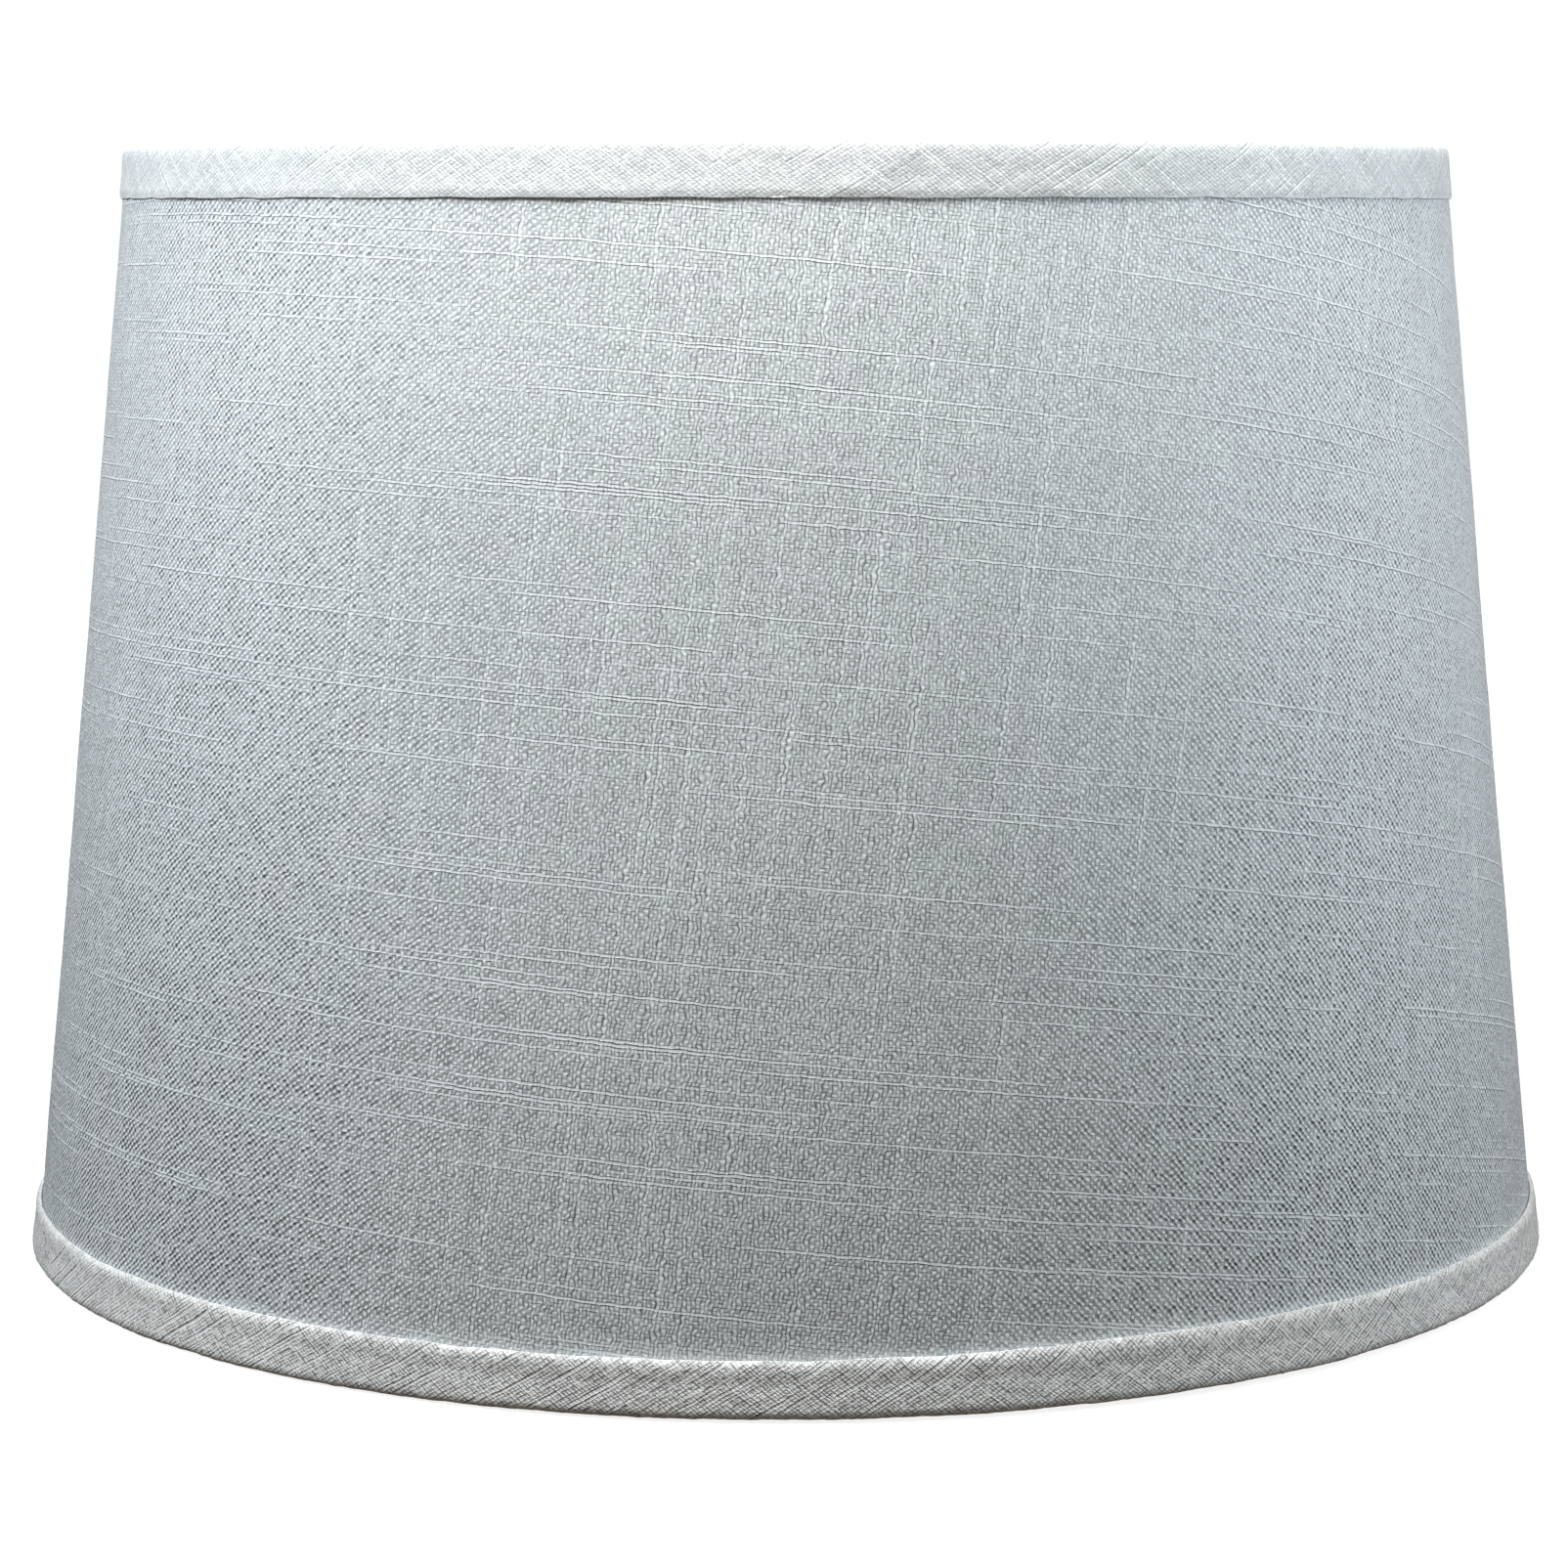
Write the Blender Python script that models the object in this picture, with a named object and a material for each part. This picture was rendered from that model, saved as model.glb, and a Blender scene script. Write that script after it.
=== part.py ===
"""A tapered drum lamp shade: white linen laminated to a styrene liner, rolled on two wire rings.

Frame: +Z up, origin at the centre of the bottom rim, the front towards -Y. Metres.
Azimuths are measured about Z from the front (-Y) towards the right (+X).
The back seam of the panel lies at SEAM_AZIMUTH, in line with one arm of the spider fitter.
"""

import math

import bmesh
import bpy

# The shade's trade size: 12 in top, 14 in bottom, 10 in slant.
INCH = 0.0254
TOP_RADIUS = 6 * INCH
BOTTOM_RADIUS = 7 * INCH
SLANT = 10 * INCH
HEIGHT = math.sqrt(SLANT**2 - (BOTTOM_RADIUS - TOP_RADIUS) ** 2)
TAPER = (BOTTOM_RADIUS - TOP_RADIUS) / HEIGHT

# Sheet stock, from the outside in. GAP keeps touching pieces apart.
GAP = 0.0003
TRIM_THICKNESS = 0.0007
FABRIC_THICKNESS = 0.0005
LINER_THICKNESS = 0.0004
TAPE_THICKNESS = 0.0002

# Bias trim: how far each tape reaches from its rim, outside and inside the wall.
TOP_TRIM_FACE = 0.0120
BOTTOM_TRIM_FACE = 0.0114
TRIM_INNER_LEG = 0.0100
TRIM_CORNER_RADIUS = 0.0012
TUCK_RADIUS = 0.0010

# Wire work.
RING_WIRE_RADIUS = 0.0013
RING_CLEARANCE = 0.00025
ARM_WIRE_RADIUS = 0.0015
ARM_COUNT = 3
ARM_RUN = 0.024
ARM_BEND_RADIUS = 0.012
SPIDER_DROP = 0.5 * INCH
HUB_RADIUS = 0.5 * INCH
HUB_HOLE_RADIUS = 7 / 32 * INCH
HUB_THICKNESS = 0.0024
HUB_CHAMFER = 0.0003

# Back seam: the panel's outer end laps over its inner end.
SEAM_AZIMUTH = math.radians(120)
LAP_WIDTH = 0.012
LAP_RAMP = 0.008
TAPE_MARGIN = 0.001

COLUMNS = 72
HUB_COLUMNS = 36
WIRE_SIDES = 8
NOTCH_SIDES = 16

# Offsets of each layer's outer face from the trim's outer face, inwards.
FABRIC_OFFSET = TRIM_THICKNESS + GAP
LINER_OFFSET = FABRIC_OFFSET + FABRIC_THICKNESS + GAP
WALL_INSIDE = LINER_OFFSET + LINER_THICKNESS
RING_OFFSET = WALL_INSIDE + RING_CLEARANCE + RING_WIRE_RADIUS
RING_DEPTH = TRIM_THICKNESS + RING_CLEARANCE + RING_WIRE_RADIUS
EDGE_DEPTH = 2 * TRIM_THICKNESS
LAP_RISE = LINER_THICKNESS + TAPE_THICKNESS + 2 * GAP

LAP_HALF = LAP_WIDTH / 2 / TOP_RADIUS
RAMP = LAP_RAMP / TOP_RADIUS
TURN = 2 * math.pi

TOP_RING_Z = HEIGHT - RING_DEPTH
HUB_Z = TOP_RING_Z - SPIDER_DROP


def outer_radius(z):
    """Radius of the shade over its trim at height z."""
    return BOTTOM_RADIUS - TAPER * z


def on_shade(azimuth, radius, z):
    return (radius * math.sin(azimuth), -radius * math.cos(azimuth), z)


def smooth_step(value):
    value = min(max(value, 0.0), 1.0)
    return value * value * (3 - 2 * value)


def panel_rise(azimuth):
    """How far the panel stands out where its last stretch climbs over its own first end."""
    lap_start = SEAM_AZIMUTH + TURN - LAP_HALF
    return LAP_RISE * smooth_step((azimuth - lap_start + RAMP) / RAMP)


def trim_rise(azimuth):
    """How far the trim is pushed out as it passes over the lapped seam."""
    away = abs((azimuth - SEAM_AZIMUTH + math.pi) % TURN - math.pi)
    clear = LAP_HALF + LAP_WIDTH / 12 / TOP_RADIUS
    return LAP_RISE * smooth_step((clear + RAMP - away) / RAMP)


def columns(start, end):
    """Azimuths from start to end: an even spacing, and closer columns along the seam."""
    step = TURN / COLUMNS
    even = [i * step for i in range(-COLUMNS, 3 * COLUMNS)]
    offsets = [LAP_HALF + RAMP * share for share in (0, 0.25, 0.5, 0.75, 1)]
    offsets = [-o for o in offsets] + offsets
    close = [SEAM_AZIMUTH + turn * TURN + o for turn in (-1, 0, 1, 2) for o in offsets]
    even = [a for a in even if min(abs(a - c) for c in close) > step / 5]
    inside = [a for a in even + close if start + step / 50 < a < end - step / 50]
    return [start, *sorted(inside), end]


def make_material(name, colour, roughness, metallic=0.0):
    material = bpy.data.materials.new(name)
    material.use_nodes = True
    shader = material.node_tree.nodes["Principled BSDF"]
    shader.inputs["Base Color"].default_value = (*colour, 1)
    shader.inputs["Roughness"].default_value = roughness
    shader.inputs["Metallic"].default_value = metallic
    return material


def add_object(name, mesh, material, parent):
    mesh.materials.append(material)
    made = bpy.data.objects.new(name, mesh)
    bpy.context.scene.collection.objects.link(made)
    made.parent = parent
    mesh.shade_smooth()
    mesh.set_sharp_from_angle(angle=math.radians(35))
    return made


def sweep(name, section, azimuths, whole_turn):
    """A mesh swept about Z. section(azimuth) gives a closed outline as (radius, z) pairs.

    A whole turn joins its last column to its first; a shorter sweep gets an end cap at each end.
    """
    shape = bmesh.new()
    rows = []
    for azimuth in azimuths:
        rows.append([shape.verts.new(on_shade(azimuth, r, z)) for r, z in section(azimuth)])
    pairs = list(zip(rows, rows[1:]))
    if whole_turn:
        pairs.append((rows[-1], rows[0]))
    for near, far in pairs:
        for i in range(len(near)):
            j = (i + 1) % len(near)
            shape.faces.new((near[i], near[j], far[j], far[i]))
    if not whole_turn:
        shape.faces.new(rows[0])
        shape.faces.new(reversed(rows[-1]))
    bmesh.ops.recalc_face_normals(shape, faces=shape.faces)
    mesh = bpy.data.meshes.new(name)
    shape.to_mesh(mesh)
    shape.free()
    return mesh


def wall_section(outer_offset, thickness, low, high):
    """The outline of one straight layer of the wall, between two heights."""
    corners = (
        (outer_offset + thickness, low),
        (outer_offset, low),
        (outer_offset, high),
        (outer_offset + thickness, high),
    )
    return lambda azimuth: [
        (outer_radius(z) - o + panel_rise(azimuth), z) for o, z in corners
    ]


def make_liner(material, parent):
    section = wall_section(LINER_OFFSET, LINER_THICKNESS, EDGE_DEPTH, HEIGHT - EDGE_DEPTH)
    around = columns(SEAM_AZIMUTH - LAP_HALF, SEAM_AZIMUTH + TURN + LAP_HALF)
    return add_object("liner", sweep("liner", section, around, False), material, parent)


def make_fabric_cover(material, parent):
    """The linen leaves the inner lap bare, and starts just past the outer lap's end."""
    section = wall_section(FABRIC_OFFSET, FABRIC_THICKNESS, EDGE_DEPTH, HEIGHT - EDGE_DEPTH)
    start = SEAM_AZIMUTH + LAP_HALF + 2 * GAP / TOP_RADIUS
    around = columns(start, SEAM_AZIMUTH + TURN + LAP_HALF)
    mesh = sweep("fabric_cover", section, around, False)
    return add_object("fabric_cover", mesh, material, parent)


def make_seam_tape(material, parent):
    """Double-sided tape between the two laps of the liner."""
    outer_offset = LINER_OFFSET - GAP - TAPE_THICKNESS
    section = wall_section(
        outer_offset, TAPE_THICKNESS, EDGE_DEPTH + TAPE_MARGIN, HEIGHT - EDGE_DEPTH - TAPE_MARGIN
    )
    margin = TAPE_MARGIN / TOP_RADIUS
    around = columns(SEAM_AZIMUTH - LAP_HALF + margin, SEAM_AZIMUTH + LAP_HALF - margin)
    return add_object("seam_tape", sweep("seam_tape", section, around, False), material, parent)


def arc(centre, radius, start_deg, end_deg, steps):
    """Points on an arc, both ends included, as (x, y) pairs."""
    found = []
    for i in range(steps + 1):
        angle = math.radians(start_deg + (end_deg - start_deg) * i / steps)
        found.append((centre[0] + radius * math.cos(angle), centre[1] + radius * math.sin(angle)))
    return found


def trim_centreline(face):
    """The tape's middle line, as (offset inwards, depth from the rim), in two stretches.

    The first runs along the outside of the wall and rounds its edge. The second rounds the ring
    and tucks back against the inside of the wall.
    """
    half = TRIM_THICKNESS / 2
    corner = half + TRIM_CORNER_RADIUS
    wrap = RING_WIRE_RADIUS + RING_CLEARANCE + half
    leg = WALL_INSIDE + GAP + half
    outside = [(half, face)] + arc((corner, corner), TRIM_CORNER_RADIUS, 180, 270, 2)
    round_ring = arc((RING_OFFSET, RING_DEPTH), wrap, 270, 440, 5)
    tuck_centre = (leg + TUCK_RADIUS, RING_DEPTH + wrap + TUCK_RADIUS)
    tuck = arc(tuck_centre, TUCK_RADIUS, 250, 180, 1)
    return outside, round_ring + tuck + [(leg, TRIM_INNER_LEG)]


def thicken(line, thickness):
    """The closed outline of a strip of that thickness about an open line, with mitred bends."""
    turns = []
    for (x0, y0), (x1, y1) in zip(line, line[1:]):
        turns.append(math.atan2(y1 - y0, x1 - x0))
    left, right = [], []
    for i, (x, y) in enumerate(line):
        before = turns[max(i - 1, 0)]
        after = turns[min(i, len(turns) - 1)]
        half_bend = ((after - before + math.pi) % TURN - math.pi) / 2
        reach = thickness / 2 / math.cos(half_bend)
        nx = -math.sin(before + half_bend) * reach
        ny = math.cos(before + half_bend) * reach
        left.append((x + nx, y + ny))
        right.append((x - nx, y - ny))
    return left + right[::-1]


def trim_section(face, at_top):
    """The folded tape's outline at an azimuth. Only its outer side is pushed out at the seam."""
    outside, inside = trim_centreline(face)
    outline = thicken(outside + inside, TRIM_THICKNESS)
    shares = [1] * len(outside) + [0] * len(inside)
    shares += shares[::-1]

    def section(azimuth):
        rise = trim_rise(azimuth)
        found = []
        for (offset, depth), share in zip(outline, shares):
            z = HEIGHT - depth if at_top else depth
            found.append((outer_radius(z) - offset + rise * share, z))
        return found

    return section


def make_trim(name, face, at_top, material, parent):
    around = columns(0, TURN)[:-1]
    mesh = sweep(name, trim_section(face, at_top), around, True)
    return add_object(name, mesh, material, parent)


def make_ring(name, z, material, parent):
    """A wire ring just inside the wall at height z."""
    radius = outer_radius(z) - RING_OFFSET
    circle = arc((radius, z), RING_WIRE_RADIUS, 0, 360, WIRE_SIDES)[:-1]
    around = columns(0, TURN)[:-1]
    mesh = sweep(name, lambda azimuth: circle, around, True)
    return add_object(name, mesh, material, parent)


def make_hub(material, parent):
    """The fitter's washer: a lamp's threaded stud passes through it, and a finial clamps it."""
    half, cut = HUB_THICKNESS / 2, HUB_CHAMFER
    outline = [
        (HUB_HOLE_RADIUS, HUB_Z - half),
        (HUB_RADIUS - cut, HUB_Z - half),
        (HUB_RADIUS, HUB_Z - half + cut),
        (HUB_RADIUS, HUB_Z + half - cut),
        (HUB_RADIUS - cut, HUB_Z + half),
        (HUB_HOLE_RADIUS, HUB_Z + half),
    ]
    around = [i * TURN / HUB_COLUMNS for i in range(HUB_COLUMNS)]
    mesh = sweep("spider_hub", lambda azimuth: outline, around, True)
    return add_object("spider_hub", mesh, material, parent)


def arm_line():
    """An arm's middle line as (radius, z): flat from the hub, then up at a slope to the ring."""
    ring = (outer_radius(TOP_RING_Z) - RING_OFFSET, TOP_RING_Z)
    knee = (ring[0] - ARM_RUN, HUB_Z)
    slope = math.atan2(ring[1] - knee[1], ring[0] - knee[0])
    tangent = ARM_BEND_RADIUS * math.tan(slope / 2)
    bend_centre = (knee[0] - tangent, HUB_Z + ARM_BEND_RADIUS)
    bend = arc(bend_centre, ARM_BEND_RADIUS, 270, 270 + math.degrees(slope), 4)
    short = RING_WIRE_RADIUS + GAP
    end = (ring[0] - short * math.cos(slope), ring[1] - short * math.sin(slope))
    return [(HUB_RADIUS + GAP, HUB_Z), *bend, end]


def wire_object(name, line, azimuth, radius, material, parent):
    """A round wire along a line of (radius, z) points in the upright plane at an azimuth."""
    curve = bpy.data.curves.new(name, "CURVE")
    curve.dimensions = "3D"
    spline = curve.splines.new("POLY")
    spline.points.add(len(line) - 1)
    for point, (r, z) in zip(spline.points, line):
        point.co = (*on_shade(azimuth, r, z), 1)
    curve.bevel_depth = radius
    curve.bevel_resolution = 3
    curve.use_fill_caps = True
    curve.materials.append(material)
    made = bpy.data.objects.new(name, curve)
    bpy.context.scene.collection.objects.link(made)
    made.parent = parent
    return made


def cut_notch(trim, line, azimuth):
    """Opens the trim's inner side around an arm, where the tape is snipped to pass the wire."""
    (r0, z0), (r1, z1) = line[-2], line[-1]
    slope = math.atan2(z1 - z0, r1 - r0)
    length = 6 * RING_WIRE_RADIUS
    reach = length / 2 - RING_WIRE_RADIUS / 2
    middle = (r1 - reach * math.cos(slope), z1 - reach * math.sin(slope))
    cutter_shape = bmesh.new()
    bmesh.ops.create_cone(
        cutter_shape,
        cap_ends=True,
        segments=NOTCH_SIDES,
        radius1=ARM_WIRE_RADIUS + GAP,
        radius2=ARM_WIRE_RADIUS + GAP,
        depth=length,
    )
    mesh = bpy.data.meshes.new("notch_cutter")
    cutter_shape.to_mesh(mesh)
    cutter_shape.free()
    cutter = bpy.data.objects.new("notch_cutter", mesh)
    bpy.context.scene.collection.objects.link(cutter)
    cutter.location = on_shade(azimuth, *middle)
    cutter.rotation_euler = (math.pi / 2 - slope, 0, azimuth)
    cutter.hide_render = True
    cutter.display_type = "WIRE"
    cut = trim.modifiers.new("arm_notch", "BOOLEAN")
    cut.operation = "DIFFERENCE"
    cut.object = cutter


def clear_scene():
    for old in list(bpy.data.objects):
        bpy.data.objects.remove(old)


def main():
    clear_scene()
    shade = bpy.data.objects.new("lamp_shade", None)
    bpy.context.scene.collection.objects.link(shade)

    linen = make_material("linen", (0.72, 0.74, 0.74), 0.9)
    bias_tape = make_material("bias_tape", (0.78, 0.79, 0.78), 0.9)
    styrene = make_material("styrene", (0.86, 0.86, 0.84), 0.45)
    adhesive = make_material("adhesive_tape", (0.80, 0.79, 0.74), 0.5)
    nickel = make_material("nickel_wire", (0.66, 0.64, 0.60), 0.3, 1.0)

    make_fabric_cover(linen, shade)
    make_liner(styrene, shade)
    make_seam_tape(adhesive, shade)
    top_trim = make_trim("top_trim", TOP_TRIM_FACE, True, bias_tape, shade)
    make_trim("bottom_trim", BOTTOM_TRIM_FACE, False, bias_tape, shade)
    make_ring("top_ring", TOP_RING_Z, nickel, shade)
    make_ring("bottom_ring", RING_DEPTH, nickel, shade)
    make_hub(nickel, shade)
    line = arm_line()
    for i in range(ARM_COUNT):
        azimuth = i * TURN / ARM_COUNT
        wire_object(f"spider_arm_{i + 1}", line, azimuth, ARM_WIRE_RADIUS, nickel, shade)
        cut_notch(top_trim, line, azimuth)


main()
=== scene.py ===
"""A white linen drum shade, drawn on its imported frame.

The cover is one panel of slubbed linen, lapped at the back. A folded strip of linen, cut on the bias,
binds each rim. The liner and the wire fitter are the frame's own solids with finished materials.
Metres, +Z up, front towards -Y. Azimuths run from the front towards the right.
"""

import math
from dataclasses import dataclass

import bpy
import numpy as np
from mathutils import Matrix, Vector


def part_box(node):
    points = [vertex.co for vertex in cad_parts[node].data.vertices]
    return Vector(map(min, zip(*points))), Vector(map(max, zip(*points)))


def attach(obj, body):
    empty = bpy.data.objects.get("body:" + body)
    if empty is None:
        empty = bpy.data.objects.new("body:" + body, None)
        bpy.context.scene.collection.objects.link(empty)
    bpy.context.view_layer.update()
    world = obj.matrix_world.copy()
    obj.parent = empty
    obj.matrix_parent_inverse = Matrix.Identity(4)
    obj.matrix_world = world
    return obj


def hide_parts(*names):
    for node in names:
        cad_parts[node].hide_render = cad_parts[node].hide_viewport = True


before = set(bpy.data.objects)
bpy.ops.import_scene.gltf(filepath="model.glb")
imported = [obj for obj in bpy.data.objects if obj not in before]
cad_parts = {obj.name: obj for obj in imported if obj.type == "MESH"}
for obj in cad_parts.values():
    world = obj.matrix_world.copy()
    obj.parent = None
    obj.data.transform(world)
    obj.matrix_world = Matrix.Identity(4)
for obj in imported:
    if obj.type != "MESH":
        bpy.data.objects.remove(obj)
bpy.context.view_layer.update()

MM = 0.001
TURN = 2 * math.pi

# The wall as the frame has it. Radii are of the cloth's face. CONE is the sine of the wall's slope,
# which is also the share of a whole turn that the wall takes up when it is rolled out flat.
cover_low, cover_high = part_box("fabric_cover")
low_ring, high_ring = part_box("bottom_ring"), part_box("top_ring")
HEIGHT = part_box("top_trim")[1].z
TAPER = (low_ring[1].x - high_ring[1].x) / (high_ring[0].z - low_ring[0].z)
BASE_RADIUS = cover_high.x + TAPER * cover_low.z
RIM_RADIUS = BASE_RADIUS - TAPER * HEIGHT
CONE = TAPER / math.sqrt(1 + TAPER**2)

# The back seam, where the panel's outer end laps over its inner end.
SEAM = math.radians(120)
LAP_HALF = 6 * MM / RIM_RADIUS
LAP_RAMP = 8 * MM / RIM_RADIUS
LAP_RISE = 1.2 * MM
COVER_THICKNESS = 0.45 * MM

# The threads' directions in degrees on the flat cloth.
COVER_WEFT, COVER_WARP = -5.5, 81.6
BIAS_WEFT, BIAS_WARP = 30.0, -38.5

# Each binding's middle line, in millimetres: how far in from the cover's face, and how far from the
# rim. It starts at the folded outer edge, rolls round the wire ring and tucks in behind the liner.
INNER_TUCK = [(4.40, 3.6), (3.30, 4.5), (2.25, 5.2), (1.80, 6.6), (1.75, 10.4)]
TOP_LINE = [(-0.38, 12.0), (-0.40, 10.5), (-0.42, 8.4), (-0.45, 6.0), (-0.52, 3.6), (-0.48, 1.9)]
TOP_LINE += [(-0.20, 0.80), (0.75, 0.36), (2.30, 0.33), (3.60, 0.70), (4.50, 1.5), (4.72, 2.6)]
BOTTOM_LINE = [(-0.62, 11.3), (-0.70, 10.2), (-0.76, 9.0), (-1.04, 7.4), (-1.14, 5.8), (-1.26, 3.6)]
BOTTOM_LINE += [(-1.32, 1.9), (-1.30, 0.95), (-1.02, 0.50), (-0.40, 0.35), (0.80, 0.33)]
BOTTOM_LINE += [(2.10, 0.33), (3.30, 0.50), (4.30, 1.2), (4.74, 2.3)]
STRIP_OVERLAP = 12 * MM
STRIP_THICKNESS = 0.62 * MM
HEM_WIDTH = 4 * MM

# Where the top strip's second length is sewn on: how far right of the front the slanting join meets
# the strip's lower edge, that edge's depth below the rim, and the join's rise over its run.
JOIN_START, JOIN_DEPTH, JOIN_RISE = 8.7 * MM, 12.3 * MM, 0.51

# Painted light: the cover just above the lower fold is painted lighter, for the light that the fold throws
# back on it.
PAINTED_BOUNCE_LIGHT = 0.36
PAINTED_BOUNCE_REACH = 1.3 * MM


@dataclass
class Strip:
    """One rim's binding: its middle line, its hem's thickness, and how strong the painted highlight along
    its outer fold is.
    """

    name: str
    node: str
    line: list
    radius: float
    hem: float
    painted_fold_highlight: float
    seed: int
    at_top: bool


TOP_STRIP = Strip("top_binding", "top_trim", TOP_LINE, RIM_RADIUS, 0.68 * MM, 0.26, 11, True)
BOTTOM_STRIP = Strip("bottom_binding", "bottom_trim", BOTTOM_LINE, BASE_RADIUS, 1.35 * MM, 0.38, 23, False)


@dataclass
class Linen:
    """One plain-woven linen. Thread spacings and the relief are in metres."""

    name: str
    tint: tuple
    lightness: float
    weft_slubs: tuple  # the noise levels between which a thread swells into a slub
    warp_slubs: tuple
    streaks: float  # how much the lightness varies along a thread
    gap_depth: float  # how dark the lines between threads are
    irregular: float  # how uneven the threads' spacing is, in threads
    relief: float
    contrast: float = 1.0
    warp_pitch: float = 0.766 * MM
    weft_pitch: float = 0.858 * MM
    slub_length: float = 0.35  # 1 for slubs of 70 to 90 mm
    shake: float = 0.3  # how far a thread shakes to and fro, in threads
    seed: float = 31.0
    hatched: bool = False  # whether it has the cover's hatch


COVER_LINEN = Linen(
    name="linen",
    tint=(0.96, 0.98, 0.98),
    lightness=0.672,
    weft_slubs=(0.57, 0.665),
    warp_slubs=(0.575, 0.665),
    streaks=0.14,
    gap_depth=0.44,
    irregular=0.3,
    relief=0.20 * MM,
    warp_pitch=0.90 * MM,
    weft_pitch=0.765 * MM,
    slub_length=1.5,
    shake=1.4,
    seed=0.0,
    hatched=True,
)
TOP_LINEN = Linen(
    name="top_linen",
    tint=(0.985, 0.985, 0.97),
    lightness=0.742,
    weft_slubs=(0.58, 0.68),
    warp_slubs=(0.59, 0.70),
    streaks=0.45,
    gap_depth=0.45,
    irregular=0.8,
    relief=0.09 * MM,
    contrast=0.75,
)
BOTTOM_LINEN = Linen(
    name="bias_linen",
    tint=(0.985, 0.965, 0.925),
    lightness=0.80,
    weft_slubs=(0.55, 0.62),
    warp_slubs=(0.56, 0.64),
    streaks=0.5,
    gap_depth=0.95,
    irregular=1.6,
    relief=0.20 * MM,
    contrast=1.35,
)

# On the flat cover, the front is at this distance along the weft, and the panel's lower and upper
# parts are at these distances along the warp, both from the cone's point.
FRONT = 0.24
LOW_CLOTH, HIGH_CLOTH = -1.78, -1.54

# How linen's threads vary and show. Distances across threads are in threads.
WANDER = 0.8
THREAD_STEP = 7.37  # how unlike its neighbours' one thread's noise is
BODY_LENGTH = 3.5 * MM
GAP_LENGTH = 1.6 * MM
WEFT_SLUB_LENGTH, WARP_SLUB_LENGTH = 90 * MM, 70 * MM
BODY = 0.4  # how much fuller one stretch of a thread is than another
KNOT = 1.2  # how much higher one crossing is than another
# Beside a warp slub the crease is painted shadow only, with no sunken relief.
SIDE_CREASE = 0.25  # the crease beside a warp slub, as a share of the one under a weft slub

# How much lighter threads make the cloth, partly painted light that raised threads and slubs catch, and how
# much darker the painted shadow in the creases beside slubs makes it.
HATCH = 0.40  # on the hatch's high crossings, and as much darker on its low ones
HATCH_FLATTENS = 0.10  # taken off at high and low crossings alike
UPRIGHT_LINES = 0.30  # on warp threads at the front
GRAIN = 0.08  # on the full stretches of a thread
RIDGE = 0.40  # on weft slubs
UPRIGHT = 0.32  # on warp slubs
CREASE_PAINTED_SHADOW = 0.75
DARKEST, LIGHTEST = 0.08, 0.97
# The even shade that the weave fades into under a painted highlight.
PAINTED_HIGHLIGHT_SHADE = 0.84

# Relief, as shares of a linen's own.
GAP_DROP = 0.30
HATCH_RISE = 0.50
DOME_RISE = 0.70
RIDGE_RISE = 0.50
UPRIGHT_RISE = 0.30
CREASE_DROP = 0.50

# The height that lights aim at.
LIGHT_AIM = 0.15


def face_radius(z):
    return BASE_RADIUS - TAPER * z


def smooth_step(value):
    value = np.clip(value, 0, 1)
    return value * value * (3 - 2 * value)


def waves(seed, length, count, *coords):
    """Smooth, repeatable unevenness of about unit size over coordinates in metres."""
    rng = np.random.default_rng(seed)
    total = 0
    for _ in range(count):
        scale = TURN / (length * rng.uniform(0.6, 1.8))
        heading = rng.uniform(0, TURN)
        across = math.cos(heading) * coords[0]
        if len(coords) > 1:
            across = across + math.sin(heading) * coords[1]
        total = total + np.sin(scale * across + rng.uniform(0, TURN))
    return total / math.sqrt(count / 2)


def weave_coords(x, y, weft_deg, warp_deg):
    """Flat positions as distances along the weft and along the warp."""
    weft, warp = math.radians(weft_deg), math.radians(warp_deg)
    across = math.sin(warp - weft)
    along_weft = (x * math.sin(warp) - y * math.cos(warp)) / across
    along_warp = (y * math.cos(weft) - x * math.sin(weft)) / across
    return np.stack([along_weft, along_warp], -1)


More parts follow.
